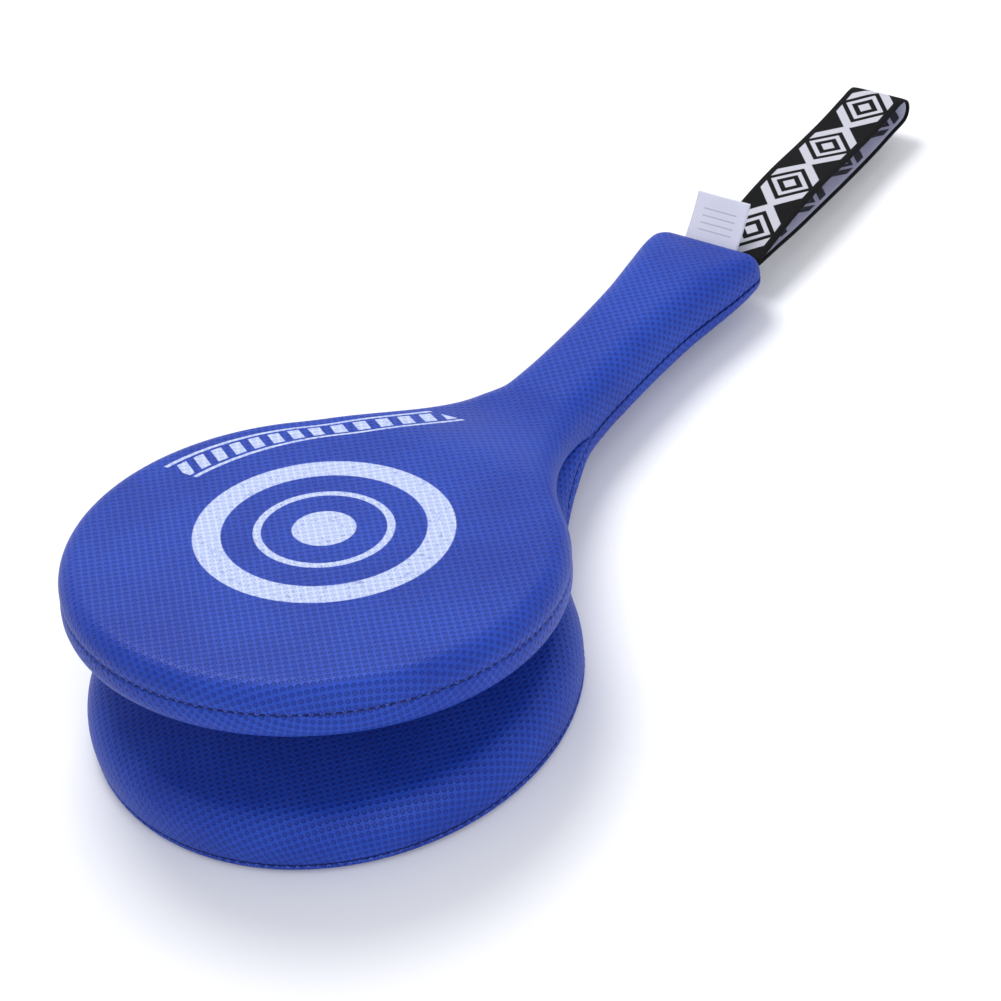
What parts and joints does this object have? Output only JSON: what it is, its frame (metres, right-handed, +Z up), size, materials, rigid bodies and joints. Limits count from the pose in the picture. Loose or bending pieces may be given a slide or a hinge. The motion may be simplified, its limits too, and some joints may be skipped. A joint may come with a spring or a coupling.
{
  "type": "kick paddle",
  "caption": "Padded double kick paddle: two racket-shaped striking heads that clap together on flexible boards, one shared padded handle, wrist strap and care label.",
  "frame": {"origin": "centre of the bounding box, at the level surface that the lower head lies on", "axes": "+X across the heads' width, +Y from the head tips to the handle end and strap, +Z up from the lower head to the upper head"},
  "size_m": [0.198, 0.5266, 0.0903],
  "materials": {
    "synthetic_leather": "satin, embossed weave",
    "thread": "matte",
    "foam": "matte closed-cell foam",
    "flex_board": "matte polypropylene sheet",
    "spacer_eva": "matte EVA",
    "webbing": "matte woven jacquard",
    "label_satin": "satin"
  },
  "bodies": {
    "handle": {"upper_tang": "flex_board", "lower_tang": "flex_board", "spacer_block": "spacer_eva", "upper_grip_foam": "foam", "lower_grip_foam": "foam", "upper_grip_cover": "synthetic_leather", "lower_grip_cover": "synthetic_leather", "left_grip_stitching": "thread", "right_grip_stitching": "thread", "left_end_stitching": "thread", "right_end_stitching": "thread", "strap_anchor": "webbing", "label_tail": "label_satin"},
    "upper_head": {"upper_outer_cover": "synthetic_leather", "upper_inner_cover": "synthetic_leather", "upper_rim_stitching": "thread", "upper_outer_foam": "foam", "upper_core_board": "flex_board", "upper_inner_foam": "foam"},
    "lower_head": {"lower_outer_cover": "synthetic_leather", "lower_inner_cover": "synthetic_leather", "lower_rim_stitching": "thread", "lower_outer_foam": "foam", "lower_core_board": "flex_board", "lower_inner_foam": "foam"},
    "strap": {"wrist_strap": "webbing"},
    "label": {"care_label": "label_satin"}
  },
  "joints": [
    {"name": "lower_flex", "type": "hinge", "parent": "handle", "child": "lower_head", "pos_m": [0, -0.01432, 0.01375], "axis": [1, 0, 0], "range_deg": [-1.3, 6], "stiffness_Nm_per_rad": 10},
    {"name": "upper_flex", "type": "hinge", "parent": "handle", "child": "upper_head", "pos_m": [0, -0.01377, 0.03474], "axis": [1, 0, 0], "range_deg": [-6, 8.3], "stiffness_Nm_per_rad": 10},
    {"name": "strap_swing", "type": "hinge", "parent": "handle", "child": "strap", "pos_m": [0.007, 0.12733, 0.01754], "axis": [1, 0, 0], "range_deg": [-66, 19]},
    {"name": "label_flap", "type": "hinge", "parent": "handle", "child": "label", "pos_m": [-0.0035, 0.12447, 0.01932], "axis": [1, 0, 0], "range_deg": [-5, 40], "stiffness_Nm_per_rad": 0.001}
  ]
}
